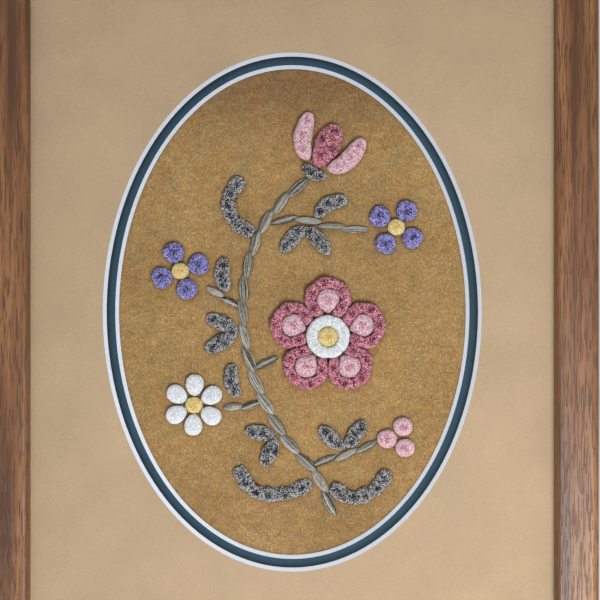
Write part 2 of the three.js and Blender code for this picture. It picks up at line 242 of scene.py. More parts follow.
# the painted shade at the top and the darkening towards the bottom start at the first height above the
# oval's centre, are full at the second, and have this share
PAINTED_SHADE_TOP, DARKER_BOTTOM = (0.058, 0.086, 1.0), (-0.040, -0.082, 0.35)
EDGE_DARKENING_DRIFT = 0.024
EDGE_DARKENING = (0.66, 0.61, 0.66, 1.0)
# painted contact shade on the hide near the hair and the mats: how far it reaches, and its reddish tint
CONTACT_SHADE_WIDTH = 0.0016
CONTACT_SHADE = (0.50, 0.42, 0.40, 1.0)


def as_object(name, points, faces=(), edges=(), smooth=False):
    """A mesh object at the origin, with its place in its mesh."""
    mesh = bpy.data.meshes.new(name)
    mesh.from_pydata([tuple(p) for p in points], list(edges), [tuple(f) for f in faces])
    mesh.validate()
    if smooth:
        mesh.shade_smooth()
    made = bpy.data.objects.new(name, mesh)
    bpy.context.scene.collection.objects.link(made)
    return made


def axis_of(tree, vector, axis):
    """One axis of a vector."""
    return node(tree, "ShaderNodeSeparateXYZ", {0: vector}).outputs[axis]


columns = round((hide_high.x - hide_low.x) / HIDE_STEP) + 1
lines = round((hide_high.z - hide_low.z) / HIDE_STEP) + 1
points = []
for side_y, wave in ((hide_low.y, HIDE_WAVE), (hide_high.y, 0)):
    for x in np.linspace(hide_low.x, hide_high.x, columns):
        for z in np.linspace(hide_low.z, hide_high.z, lines):
            points.append((x, side_y + wave * noise.noise(Vector((x, 0, z)) * HIDE_WAVES_A_METRE), z))
front, back = np.arange(2 * columns * lines).reshape(2, columns, lines)
faces = [(front[i, j], front[i + 1, j], front[i + 1, j + 1], front[i, j + 1])
         for i in range(columns - 1) for j in range(lines - 1)]
faces += [(back[i, j], back[i, j + 1], back[i + 1, j + 1], back[i + 1, j])
          for i in range(columns - 1) for j in range(lines - 1)]
rim_front, rim_back = [np.concatenate([side[:, 0], side[-1, 1:], side[-2::-1, -1], side[0, -2:0:-1]])
                       for side in (front, back)]
for k in range(len(rim_front)):
    after = (k + 1) % len(rim_front)
    faces.append((rim_front[after], rim_front[k], rim_back[k], rim_back[after]))
hide = as_object("hide_skin", points, faces, smooth=True)

nap, tree, shader = finish("napped_hide", roughness=0.95)
flecks = patch(tree, FLECK, detail=2)
streaks = patch(tree, STREAK, detail=2, stretch=STREAK_STRETCH)
clouds = patch(tree, CLOUD, detail=3)
grain = maths(tree, "MULTIPLY_ADD", streaks, STREAK_SHARE, flecks)
grain = maths(tree, "MULTIPLY_ADD", clouds, CLOUD_SHARE, grain)
tone = ramp(tree, between(tree, grain, 0.515, 1.335), [(0.0, dye(108, 81, 46)), (0.5, dye(143, 114, 71)),
                                                       (0.72, dye(158, 128, 82)), (1.0, dye(194, 164, 114))])
gold = between(tree, patch(tree, GOLD_FLECK, detail=1), 0.57, 0.70, 0.0, GOLD_SHARE)
tone = blend(tree, gold, tone, GOLD)
warm = maths(tree, "MULTIPLY", patch(tree, WARM_FLECK, detail=2, stretch=WARM_STRETCH), WARM_SHARE)
warm = maths(tree, "MULTIPLY_ADD", patch(tree, WARM_CLOUD, detail=2), 1 - WARM_SHARE, warm)
hue = ramp(tree, warm, [(0.38, (0.96, 1.0, 1.05, 1)), (0.62, (1.06, 0.985, 0.92, 1))])
tone = blend(tree, 1.0, tone, hue, "MULTIPLY")
# painted shade towards the top, under the mats, and a plain darkening towards the bottom, their edges
# drifting with the clouds
height = axis_of(tree, node(tree, "ShaderNodeTexCoord").outputs["Object"], "Z")
height = maths(tree, "MULTIPLY_ADD", clouds, EDGE_DARKENING_DRIFT, height)
middle = OVAL_CENTRE.z + EDGE_DARKENING_DRIFT / 2
edge_darkening = [between(tree, height, middle + start, middle + full, 0.0, most, "SMOOTHSTEP")
         for start, full, most in (PAINTED_SHADE_TOP, DARKER_BOTTOM)]
tone = blend(tree, maths(tree, "ADD", *edge_darkening), tone, EDGE_DARKENING, "MULTIPLY")
# painted contact shade, a little reddish, where the hair and the mats stand close
open_air = node(tree, "ShaderNodeAmbientOcclusion", {"Distance": CONTACT_SHADE_WIDTH}, samples=6).outputs["AO"]
tone = blend(tree, between(tree, open_air, 0.35, 0.92, 1.0, 0.0), tone, CONTACT_SHADE, "MULTIPLY")
tree.links.new(tone, shader.inputs["Base Color"])
relief(tree, shader, flecks, FLECK_DEPTH)
hide.data.materials.append(nap)
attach(hide, "root")
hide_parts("hide")


# The two window mats
# Four-ply card, covered with coloured paper and cut through on a slant with an oval window, so
# that the white core shows as a bevel, greyed towards the top by painted shade. The tan one lies on the
# blue-green one, whose paper has painted shade beside what stands on it.
UNDER_WINDOW, TOP_WINDOW = (0.127, 0.178), (0.1356, 0.1866)
WINDOW_STEPS = 288
BEVEL = 0.0012
PLY, PLY_STRETCH, PLY_DEPTH = 0.0003, (6, 1, 6), 0.00003
# painted shade on the bevel: its grey, and the heights where it starts and is full
CORE_SHADE = (0.61, 0.61, 0.63, 1.0)
CORE_SHADE_FROM, CORE_SHADE_FULL = -0.085, 0.092  # heights from the oval's centre
TOOTH, TOOTH_DEPTH = 0.0006, 0.00004
PAPER_CLOUD = 0.022
# how far the painted shade beside what stands on the paper reaches
PAPER_SHADE_WIDTH = 0.0026


def window_mat(name, window_size, paper, core):
    """A mat in the place of its CAD node, with an oval window of this size at its back."""
    low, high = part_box(name)
    middle, half = (low + high) / 2, (high - low) / 2
    turns = np.arange(WINDOW_STEPS) * 2 * np.pi / WINDOW_STEPS
    way = np.stack([np.cos(turns), np.sin(turns)], 1)
    reach = np.min([half.x, half.z] / np.maximum(np.abs(way), 1e-9), axis=1)
    outer = way * reach[:, None]
    for corner in ((1, 1), (-1, 1), (-1, -1), (1, -1)):
        spot = np.array(corner) * (half.x, half.z)
        outer[np.argmin(np.linalg.norm(outer - spot, axis=1))] = spot
    window = way * window_size / 2
    wide = window * (1 + 2 * BEVEL / np.array(window_size))
    rings = [(outer, low.y), (wide, low.y), (window, high.y), (outer, high.y)]
    points = [(middle.x + u, y, middle.z + v) for ring, y in rings for u, v in ring]
    faces = []
    for ring in range(len(rings)):
        a, b = ring * WINDOW_STEPS, (ring + 1) % len(rings) * WINDOW_STEPS
        for k in range(WINDOW_STEPS):
            after = (k + 1) % WINDOW_STEPS
            faces.append((a + k, b + k, b + after, a + after))
    made = as_object(name + "_board", points, faces)
    mesh = made.data
    mesh.materials.append(paper)
    mesh.materials.append(core)
    # the face is paper, and the bevel, the back and the outer edge are the core's white
    parts = np.repeat([0, 1, 1, 1], WINDOW_STEPS).astype(np.int32)
    mesh.polygons.foreach_set("material_index", parts)
    solid = bmesh.new()
    solid.from_mesh(mesh)
    bmesh.ops.recalc_face_normals(solid, faces=solid.faces)
    solid.to_mesh(mesh)
    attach(made, "root")
    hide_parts(name)
    return made


def grey(tree, share):
    """A grey as light as the share."""
    return node(tree, "ShaderNodeCombineColor", {0: share, 1: share, 2: share}).outputs[0]


def mat_paper(name, deep, pale, shaded_to=1.0):
    """Coloured paper with a faint soft tooth, darkened by painted shade beside what stands on it, down to the
    given share.
    """
    material, tree, shader = finish(name, roughness=0.82)
    tooth = patch(tree, TOOTH, detail=4)
    share = maths(tree, "ADD", tooth, patch(tree, PAPER_CLOUD, detail=4))
    share = between(tree, share, 0.6, 1.4)
    tone = ramp(tree, share, [(0.0, deep), (1.0, pale)])
    # painted shade beside what stands on the paper
    open_air = node(tree, "ShaderNodeAmbientOcclusion", {"Distance": PAPER_SHADE_WIDTH}, samples=14).outputs["AO"]
    unshaded = grey(tree, between(tree, open_air, 0.82, 1.0, shaded_to, 1.0))
    tree.links.new(blend(tree, 1.0, tone, unshaded, "MULTIPLY"), shader.inputs["Base Color"])
    relief(tree, shader, tooth, TOOTH_DEPTH)
    return material


core, tree, shader = finish("mat_core", roughness=0.8)
plies = patch(tree, PLY, detail=2, stretch=PLY_STRETCH)
tone = ramp(tree, plies, [(0.3, dye(228, 238, 251)), (0.7, dye(238, 246, 255))])
# painted shade: the core greys towards the top
height = axis_of(tree, node(tree, "ShaderNodeTexCoord").outputs["Object"], "Z")
painted_core_shade = between(tree, height, OVAL_CENTRE.z + CORE_SHADE_FROM, OVAL_CENTRE.z + CORE_SHADE_FULL)
tree.links.new(blend(tree, painted_core_shade, tone, CORE_SHADE, "MULTIPLY"), shader.inputs["Base Color"])
relief(tree, shader, plies, PLY_DEPTH)
under_paper = mat_paper("blue_green_paper", dye(28, 56, 71), dye(38, 71, 87), shaded_to=0.05)
top_paper = mat_paper("tan_paper", dye(161, 139, 110), dye(179, 154, 123))
mat_under = window_mat("mat_under", UNDER_WINDOW, under_paper, core)
mat_top = window_mat("mat_top", TOP_WINDOW, top_paper, core)


# The clipped hair
# Bunches of dyed moose hair are stitched down through the hide, stand up in a brush and are clipped to a
# cushion. Each hair is a thin three-sided rod, its tip on the clipped face. More are dark near a stitch.
# the mound
SAME_POINT, SAME_HEIGHT, FOOT_HEIGHT = 1e-6, 1e-5, 1e-4
HAIR_SINK = 0.00025
ROUND_LEVELS = 2
ALONG_HIDE = (1, 0, 1)
FOOT, CROWN = 0.0004, 0.0022  # heights over the hide where its shaping starts, and is full
CREASE_FROM, LUMP_FROM, LUMP_TO = 0.35, 0.62, 0.98  # shares of a bunch's reach
UNEVEN, UNEVEN_A_METRE = 4.0, 620
MOUND_SPOTS, MOUND_ROUNDS = 500, 25
MAP_MARGIN = 0.01
# the hairs
HAIRS_APART, HAIRS_A_SQUARE_METRE = 0.00024, 6e7
HAIR_WIDTH, HAIR_LENGTH = 0.00034, 0.0011
HAIR_TAPER, HAIR_THIN, HAIR_STOUT = 0.8, 0.75, 1.3
TIP_LOW, TIP_HIGH = -1.0, 0.5
STRAY, CLUMP, CLUMPS_A_METRE = 0.20, 0.7, 1100
FULL_TURN = 6.28
# their colour
DARK_SPOT, DARK_END = 0.0002, 0.0020  # how far from a stitch the dark tips start to thin out, and end
DRIFT_PATCH, DRIFT = 0.0011, 0.7
MID_AFTER, LIGHT_AT, ROOT_DARKER = 0.22, 0.72, 0.22


def start_tree(name, sockets):
    """A new tree with these named inputs, and the inputs."""
    tree = bpy.data.node_groups.new(name, "GeometryNodeTree")
    for socket, kind in (("Geometry", "Geometry"), *sockets):
        tree.interface.new_socket(name=socket, in_out="INPUT", socket_type="NodeSocket" + kind)
    tree.interface.new_socket(name="Geometry", in_out="OUTPUT", socket_type="NodeSocketGeometry")
    return tree, node(tree, "NodeGroupInput").outputs


def end_tree(tree, parts, material):
    """Joins the parts, makes them real, gives them their material and hands them out."""
    joined = node(tree, "GeometryNodeJoinGeometry")
    for part in parts:
        tree.links.new(part, joined.inputs[0])
    whole = node(tree, "GeometryNodeRealizeInstances", {"Geometry": joined.outputs[0]}).outputs[0]
    whole = node(tree, "GeometryNodeSetMaterial", {"Geometry": whole, "Material": material}).outputs[0]
    node(tree, "NodeGroupOutput", {"Geometry": whole})


def vectors(tree, operation, first, second=(0, 0, 0)):
    """The result of one sum on one or two vectors, or on a vector and the number that scales it."""
    inputs = {0: first, "Scale" if operation == "SCALE" else 1: second}
    return node(tree, "ShaderNodeVectorMath", inputs, operation=operation).outputs["Vector"]


def waver(tree, place, waves_a_metre):
    """A soft random vector about zero, at a place."""
    made = node(tree, "ShaderNodeTexNoise", {"Vector": place, "Scale": waves_a_metre, "Detail": 1})
    return vectors(tree, "SUBTRACT", made.outputs["Color"], (0.5, 0.5, 0.5))


def any_number(tree, low, high, seed, each=None):
    """A random number from low to high, for each element or for each number in each."""
    inputs = {2: low, 3: high, "Seed": seed}
    if each:
        inputs["ID"] = each
    return node(tree, "FunctionNodeRandomValue", inputs, data_type="FLOAT").outputs[1]


def keep_as(tree, geometry, name, value, domain="POINT", kind="FLOAT"):
    """The geometry with a value kept on it under a name, for its material or a later node to read."""
    made = node(tree, "GeometryNodeStoreNamedAttribute", {"Geometry": geometry, "Name": name, "Value": value},
                data_type=kind, domain=domain)
    return made.outputs["Geometry"]


def kept_turn(tree, name):
    """A rotation that was kept under a name."""
    return node(tree, "GeometryNodeInputNamedAttribute", {"Name": name}, data_type="QUATERNION").outputs[0]


def turned_on(tree, rotation, angle):
    """A rotation turned on about its own Z axis."""
    by = node(tree, "FunctionNodeAxisAngleToRotation", {"Axis": (0, 0, 1), "Angle": angle}).outputs[0]
    return node(tree, "FunctionNodeRotateRotation", {0: rotation, 1: by}, rotation_space="LOCAL").outputs[0]


def moved(tree, geometry, offset):
    """The geometry with each of its points moved."""
    return node(tree, "GeometryNodeSetPosition", {"Geometry": geometry, "Offset": offset}).outputs[0]


def one_at_each(tree, points, shape, turn, x, y, z):
    """One of the shape at each point, turned, and scaled by x, y and z."""
    size = node(tree, "ShaderNodeCombineXYZ", {"X": x, "Y": y, "Z": z}).outputs[0]
    return node(tree, "GeometryNodeInstanceOnPoints", {"Points": points, "Instance": shape, "Rotation": turn,
                                                       "Scale": size}).outputs[0]


def nearest_stitch(tree, stitches, place):
    """Where the stitch nearest to a place is, and how far away."""
    return node(tree, "GeometryNodeProximity", {"Geometry": stitches, "Sample Position": place},
                target_element="POINTS").outputs


def clipped_hair_tree():
    """Fills a mound with hairs that stand on it and lean away from the nearest stitch."""
    tree, given = start_tree("clipped_hair", (
        ("Stitches", "Object"), ("Hairs apart", "Float"), ("Hair width", "Float"), ("Hair length", "Float"),
        ("Lean", "Float"), ("Ragged", "Float"), ("Crease", "Float"), ("Bunch reach", "Float"),
        ("Swell", "Float"), ("Lumps", "Float"), ("Brush depth", "Float"), ("Seed", "Int"),
        ("Material", "Material")))
    stitches = node(tree, "GeometryNodeObjectInfo", {"Object": given["Stitches"]}).outputs["Geometry"]
    place = node(tree, "GeometryNodeInputPosition").outputs[0]
    normal = node(tree, "GeometryNodeInputNormal").outputs[0]
    away = nearest_stitch(tree, stitches, vectors(tree, "MULTIPLY", place, ALONG_HIDE))["Distance"]
    away = maths(tree, "DIVIDE", away, given["Bunch reach"])

    # each bunch stands highest over its stitch
    raised = between(tree, axis_of(tree, place, "Y"), HIDE_FRONT - FOOT, HIDE_FRONT - CROWN)
    fall = between(tree, away, CREASE_FROM, 1.0, way="SMOOTHSTEP")
    fall = maths(tree, "MULTIPLY", maths(tree, "MULTIPLY", fall, given["Crease"]), raised)
    fall = node(tree, "ShaderNodeCombineXYZ", {"Y": fall}).outputs[0]

    # its outline swells beside a stitch, draws in between two, and is a little uneven
    uneven = node(tree, "ShaderNodeTexNoise", {"Vector": place, "Scale": UNEVEN_A_METRE, "Detail": 1})
    uneven = maths(tree, "SUBTRACT", uneven.outputs["Fac"], 0.5)
    lump = maths(tree, "MULTIPLY_ADD", uneven, UNEVEN, between(tree, away, LUMP_FROM, LUMP_TO, 1.0, -1.0))
    bulge = maths(tree, "MULTIPLY_ADD", given["Lumps"], lump, given["Swell"])
    bulge = vectors(tree, "SCALE", vectors(tree, "MULTIPLY", normal, ALONG_HIDE),
                    maths(tree, "MULTIPLY", bulge, raised))
    mound = moved(tree, given["Geometry"], vectors(tree, "ADD", fall, bulge))

    # the hairs' tips are spread over the mound's front and sides
    shown = node(tree, "FunctionNodeCompare", {0: axis_of(tree, normal, "Y"), 1: 0.5}, data_type="FLOAT",
                 operation="LESS_THAN").outputs[0]
    spread = node(tree, "GeometryNodeDistributePointsOnFaces",
                  {"Mesh": mound, "Selection": shown, "Distance Min": given["Hairs apart"],
                   "Density Max": HAIRS_A_SQUARE_METRE, "Seed": given["Seed"]},
                  distribute_method="POISSON").outputs
    spot = vectors(tree, "MULTIPLY", place, ALONG_HIDE)
    stitch = nearest_stitch(tree, stitches, spot)
    lean = vectors(tree, "SCALE", vectors(tree, "SUBTRACT", spot, stitch["Position"]),
                   maths(tree, "DIVIDE", given["Lean"], given["Bunch reach"]))
    stray = node(tree, "FunctionNodeRandomValue", {0: (-1, -1, -1), 1: (1, 1, 1), "Seed": given["Seed"]},
                 data_type="FLOAT_VECTOR").outputs[0]
    stray = vectors(tree, "SCALE", stray, STRAY)
    clump = vectors(tree, "SCALE", waver(tree, place, CLUMPS_A_METRE), CLUMP)
    way = vectors(tree, "ADD", vectors(tree, "ADD", spread["Normal"], lean),
                  vectors(tree, "ADD", stray, clump))
    way = vectors(tree, "NORMALIZE", way)

    # what a hair's material reads is worked out here, before the points move down to the roots
    front = maths(tree, "MULTIPLY", axis_of(tree, spread["Normal"], "Y"), -1.0)
    tips = keep_as(tree, spread["Points"], "shade", any_number(tree, 0.0, 1.0, 7))
    tips = keep_as(tree, tips, "by_stitch", between(tree, stitch["Distance"], DARK_SPOT, DARK_END, 1, 0))
    tips = keep_as(tree, tips, "front", front)
    turn = node(tree, "FunctionNodeAlignRotationToVector", {"Vector": way}, axis="Z").outputs[0]
    tips = keep_as(tree, tips, "turn", turn, kind="QUATERNION")
    lift = maths(tree, "MULTIPLY", any_number(tree, TIP_LOW, TIP_HIGH, given["Seed"]), given["Ragged"])
    lift = maths(tree, "SUBTRACT", lift, given["Hair length"])
    roots = moved(tree, tips, vectors(tree, "SCALE", way, lift))

    thin = maths(tree, "MULTIPLY", given["Hair width"], 0.5)
    thinner = maths(tree, "MULTIPLY", thin, HAIR_TAPER)
    hair = node(tree, "GeometryNodeMeshCone",
                {"Vertices": 3, "Side Segments": 1, "Radius Top": thin, "Radius Bottom": thinner,
                 "Depth": given["Hair length"]}, fill_type="NGON").outputs["Mesh"]
    along = maths(tree, "DIVIDE", axis_of(tree, place, "Z"), given["Hair length"])
    hair = keep_as(tree, hair, "along", along)
    turn = turned_on(tree, kept_turn(tree, "turn"), any_number(tree, 0.0, FULL_TURN, 3))
    stout = any_number(tree, HAIR_THIN, HAIR_STOUT, 5)
    hairs = one_at_each(tree, roots, hair, turn, stout, stout, 1.0)

    # the mound itself, sunk under the tips, is the inside of the brush, painted dark for the shade there
    sunk = vectors(tree, "SCALE", normal, maths(tree, "MULTIPLY", given["Brush depth"], -1.0))
    end_tree(tree, (hairs, moved(tree, mound, sunk)), given["Material"])
    return tree


def mound_of(nodes):
    """The CAD mounds of these nodes in one smooth mesh, let down into the face of the hide."""
    joined = bmesh.new()
    for name in nodes:
        joined.from_mesh(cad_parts[name].data)
    bmesh.ops.remove_doubles(joined, verts=joined.verts, dist=SAME_POINT)
    base = max(v.co.y for v in joined.verts)
    foot = {v for v in joined.verts if v.co.y > base - SAME_HEIGHT}
    for v in foot:
        v.co.y = HIDE_FRONT + HAIR_SINK
    crease = joined.edges.layers.float.new("crease_edge")
    for edge in joined.edges:
        if set(edge.verts) <= foot and any(not set(face.verts) <= foot for face in edge.link_faces):
            edge[crease] = 1.0
    mesh = bpy.data.meshes.new("mound")
    joined.to_mesh(mesh)
    mound = bpy.data.objects.new("mound", mesh)
    bpy.context.scene.collection.objects.link(mound)
    smooth = mound.modifiers.new("smooth", "SUBSURF")
    smooth.levels = smooth.render_levels = ROUND_LEVELS
    bpy.context.view_layer.update()
    evaluated = mound.evaluated_get(bpy.context.evaluated_depsgraph_get())
    rounded = bpy.data.meshes.new_from_object(evaluated)
    bpy.data.objects.remove(mound)
    return rounded


def stitch_places(nodes, bunches):
    """Where the bunches are stitched down: so many to a mound, as evenly over it as they go."""
    places = []
    for name in nodes:
        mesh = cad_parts[name].data
        mesh.calc_loop_triangles()
        rows = np.array([[mesh.vertices[i].co for i in t.vertices] for t in mesh.loop_triangles])
        rows = rows[rows[:, :, 1].min(axis=1) < rows[:, :, 1].max() - FOOT_HEIGHT][:, :, [0, 2]]
        # spots all over the mound
        span = np.abs(np.cross(rows[:, 1] - rows[:, 0], rows[:, 2] - rows[:, 0]))
        draw = np.random.default_rng(11)
        corner = rows[draw.choice(len(rows), MOUND_SPOTS, p=span / span.sum())]
        share = draw.random((3, MOUND_SPOTS, 1))
        a, b = np.sqrt(share[0]), share[2]
        spots = (1 - a) * corner[:, 0] + a * (1 - b) * corner[:, 1] + a * b * corner[:, 2]
        # the stitches start far apart and each moves to the middle of the spots that are nearest to it
        heart = spots[[np.argmin(np.linalg.norm(spots - spots.mean(0), axis=1))]]
        hearts = spots[[np.argmax(np.linalg.norm(spots - heart, axis=1))]] if bunches > 1 else heart
        while len(hearts) < bunches:
            gap = np.linalg.norm(spots[:, None] - hearts[None], axis=2).min(axis=1)
            hearts = np.vstack([hearts, spots[np.argmax(gap)]])
        for _ in range(MOUND_ROUNDS):
            nearest = np.linalg.norm(spots[:, None] - hearts[None], axis=2).argmin(axis=1)
            hearts = np.array([spots[nearest == k].mean(0) for k in range(len(hearts))])
        places += [(x, 0, z) for x, z in hearts]
    return as_object("stitches", places)


def run_tree(piece, tree, values):
    """Runs a node tree on a piece with these values, and keeps the result as its plain mesh."""
    growth = piece.modifiers.new("growth", "NODES")
    growth.node_group = tree
    for item in tree.interface.items_tree:
        if item.in_out == "INPUT" and item.name in values:
            growth[item.identifier] = values[item.name]
    bpy.context.view_layer.update()
    grown = bpy.data.meshes.new_from_object(piece.evaluated_get(bpy.context.evaluated_depsgraph_get()))
    piece.modifiers.remove(growth)
    piece.data = grown


def lay_front_map(mesh):
    """A flat map of the piece as it is seen from the front."""
    spots = np.zeros(len(mesh.vertices) * 3)
    mesh.vertices.foreach_get("co", spots)
    spots = spots.reshape(-1, 3)[:, [0, 2]]
    corners = np.zeros(len(mesh.loops), np.int32)
    mesh.loops.foreach_get("vertex_index", corners)
    low = spots.min(axis=0)
    flat = (spots - low) / (spots.max(axis=0) - low).max() * (1 - 2 * MAP_MARGIN) + MAP_MARGIN
    mesh.uv_layers.new(name="OFBake").data.foreach_set("uv", flat[corners].ravel())


def hair_dye(name, dark, mid, light, tip, dark_share, heart=0.32, rim=0.72):
    """Dyed hair: most hairs take the mid colour, and some stay dark or light. More are dark near a stitch,
    by heart, and the roots and the rim of a tuft lie in shade, down to rim."""
    material, tree, shader = finish(name, roughness=0.9)
    shade, by_stitch, along, front = [node(tree, "ShaderNodeAttribute", attribute_name=kept).outputs["Fac"]
                                      for kept in ("shade", "by_stitch", "along", "front")]
    drift = maths(tree, "MULTIPLY_ADD", patch(tree, DRIFT_PATCH, detail=2), DRIFT, -DRIFT / 2)
    share = maths(tree, "ADD", maths(tree, "MULTIPLY_ADD", by_stitch, -heart, shade), drift)
    tone = ramp(tree, share, [(0.0, dye(*dark)), (dark_share, dye(*dark)),
                              (dark_share + MID_AFTER, dye(*mid)), (LIGHT_AT, dye(*light)),
                              (1.0, dye(*tip))])
    root = between(tree, along, 0.45, 0.95, rim - ROOT_DARKER, 1.0)
    edge = between(tree, front, 0.0, 0.85, rim, 1.0)
    shadow = grey(tree, maths(tree, "MULTIPLY", root, edge))
    tree.links.new(blend(tree, 1.0, tone, shadow, "MULTIPLY"), shader.inputs["Base Color"])
    return material


def grow_hair(name, nodes, material, bunches, reach, seed, lean=0.8, ragged=0.00018, crease=0.0009,
              swell=0.00038, lumps=0.00012, depth=0.00028):
    """A piece of clipped hair in the place of its CAD nodes."""
    piece = bpy.data.objects.new(name, mound_of(nodes))
    bpy.context.scene.collection.objects.link(piece)
    stitches = stitch_places(nodes, bunches)
    run_tree(piece, clipped_hair, {"Stitches": stitches, "Hairs apart": HAIRS_APART, "Hair width": HAIR_WIDTH,
                                   "Hair length": HAIR_LENGTH, "Lean": lean, "Ragged": ragged,
                                   "Crease": crease, "Bunch reach": reach, "Swell": swell, "Lumps": lumps,
                                   "Brush depth": depth, "Seed": seed, "Material": material})
    bpy.data.objects.remove(stitches)
    lay_front_map(piece.data)
    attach(piece, "root")
    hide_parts(*nodes)


clipped_hair = clipped_hair_tree()


# The large bloom
# Five horseshoes of deep pink hair round five pale pink petals, and a white ring round a yellow eye.
# Each horseshoe is stitched down in five bunches, each petal in one, and the ring in nine.
deep_pink = hair_dye("deep_pink_hair", (98, 36, 54), (228, 136, 155), (242, 164, 182), (252, 216, 226), 0.12,
                     heart=0.46)
pale_pink = hair_dye("pale_pink_hair", (192, 126, 142), (253, 213, 222), (254, 223, 230), (255, 238, 242),
                     0.035, heart=0.42)
white_hair = hair_dye("white_hair", (216, 222, 228), (248, 252, 255), (252, 254, 255), (255, 255, 255), 0.02,
                      rim=0.84)


def named(stem, count):
    """The names of a row of like CAD nodes."""
    return [f"{stem}_{i + 1}" for i in range(count)]


grow_hair("bloom_horseshoes", named("bloom_outer", 5), deep_pink, 5, 0.0028, swell=0.00048,
          lumps=0.0002, seed=21)
grow_hair("bloom_inner_petals", named("bloom_inner", 5), pale_pink, 1, 0.0052, lean=1.3,
          ragged=0.0001, swell=0.00048, depth=0.0002, seed=22)
grow_hair("bloom_white_ring", ["bloom_ring"], white_hair, 9, 0.0030, ragged=0.0001,
          crease=0.0005, swell=0.00062, depth=0.0002, seed=23)


# The yellow eyes
# One clipped bunch of yellow hair in the middle of the bloom, of each violet floret and of the star.
yellow_hair = hair_dye("yellow_hair", (226, 180, 98), (252, 234, 158), (254, 240, 176), (255, 248, 206), 0.04)
eyes = ["bloom_centre", "floret_left_centre", "floret_right_centre", "star_centre"]
grow_hair("yellow_eyes", eyes, yellow_hair, 1, 0.0042, seed=24)


# The violet florets
# Two flowers of four round petals, one on each side of the picture, each petal a single bunch.
violet_hair = hair_dye("violet_hair", (50, 44, 96), (154, 148, 220), (184, 180, 244), (214, 212, 252), 0.15,
                       heart=0.44)
petals = named("floret_left_petal", 4) + named("floret_right_petal", 4)
grow_hair("violet_petals", petals, violet_hair, 1, 0.0048, seed=25)


# The white star
# Six petals round a yellow eye, each a single bunch of white hair.
grow_hair("white_petals", named("star_petal", 6), white_hair, 1, 0.0046, ragged=0.0001,
          depth=0.0002, seed=26)


# The tulip
# A deep pink heart between two pale pink petals, each of a few bunches, over a small grey cup.
grow_hair("tulip_heart_petal", ["tulip_heart"], deep_pink, 4, 0.0040, seed=27)
grow_hair("tulip_side_petals", ["tulip_left", "tulip_right"], pale_pink, 3, 0.0040, seed=28)


# The berries
# Three pale pink balls, each a single bunch.
grow_hair("berry_balls", named("berry", 3), pale_pink, 1, 0.0038, seed=29)


# The leaves and the tulip's cup
# Undyed grey and black hair, in single leaves, pairs and long lumpy sprays, each of several bunches.
grey_hair = hair_dye("grey_hair", (38, 39, 49), (175, 174, 173), (202, 202, 201), (232, 231, 230), 0.18,
                     heart=0.54, rim=0.82)
sprays = ["spray_foot_left", "spray_foot_right", "spray_high_left"]
pairs = ["leaves_low_left", "leaves_mid_left", "leaves_branch_down", "leaves_berry"]
singles = ["leaf_star", "leaf_floret_left", "leaf_branch_up", "tulip_cup"]
grow_hair("grey_sprays", sprays, grey_hair, 6, 0.0034, ragged=0.00028, crease=0.0013,
          lumps=0.00034, seed=30)
grow_hair("grey_leaf_pairs", pairs, grey_hair, 6, 0.0034, ragged=0.00028, lumps=0.00024, seed=31)
grow_hair("grey_single_leaves", singles, grey_hair, 3, 0.0034, ragged=0.00028, lumps=0.00024,
          seed=32)


# The stems
# Hanks of olive grey hair laid flat and couched down one after the other, so that each is full in the
# middle, pinched at its ends and a little aslant over the next.
STEM_PATHS = {
    # node: (number of hanks, width of a hank in mm, points in mm right of and above the oval's centre)
    "stem_main": (16, 3.7, ((15, -74), (9, -60), (-2, -47), (-12, -29), (-17.6, -9), (-17.4, 12), (-11, 31),
                            (-1, 43), (5.8, 48))),
    "stem_bloom": (1, 2.8, ((-13.4, -20.6), (-9.8, -18.6), (-5.4, -17.4))),
    "stem_floret_left": (2, 2.8, ((-20.3, 1.8), (-25.4, 5.4), (-31, 9.4))),
    "stem_floret_right": (4, 2.8, ((-7.4, 33.2), (3.4, 33.8), (15, 31.2), (27.4, 29.8))),
    "stem_star": (2, 2.8, ((-12.2, -33.6), (-19, -34.8), (-25, -34.4))),
    "stem_berry": (3, 2.8, ((8.1, -55.4), (18.6, -52.6), (30.8, -48))),
}
STEM_HEIGHT, STEM_SINK = 0.0019, 0.0001
PATH_STEPS = 12
OVERLAP = 1.16  # the length of a hank, as a share of its stretch of the path
SLANT, SLANT_STRAY = 0.15, 0.05
STRANDS, STRAND_WIDTH, STRAND_STEPS, STRAND_RADIUS = 20, 0.00036, 11, 0.56
HANK_END = 0.14  # how full a hank is at its ends
HANK_SWELL, HANK_ROUND = 0.62, 0.75
LIT_LEAST, LIT_MIDDLE, LIT_TOP = 0.4, 0.35, 0.3
STIR, STIRS_A_METRE = 0.0006, 500
FILLING = (0.46, 0.40, 0.85)  # its size, as shares of a hank's length, width and height


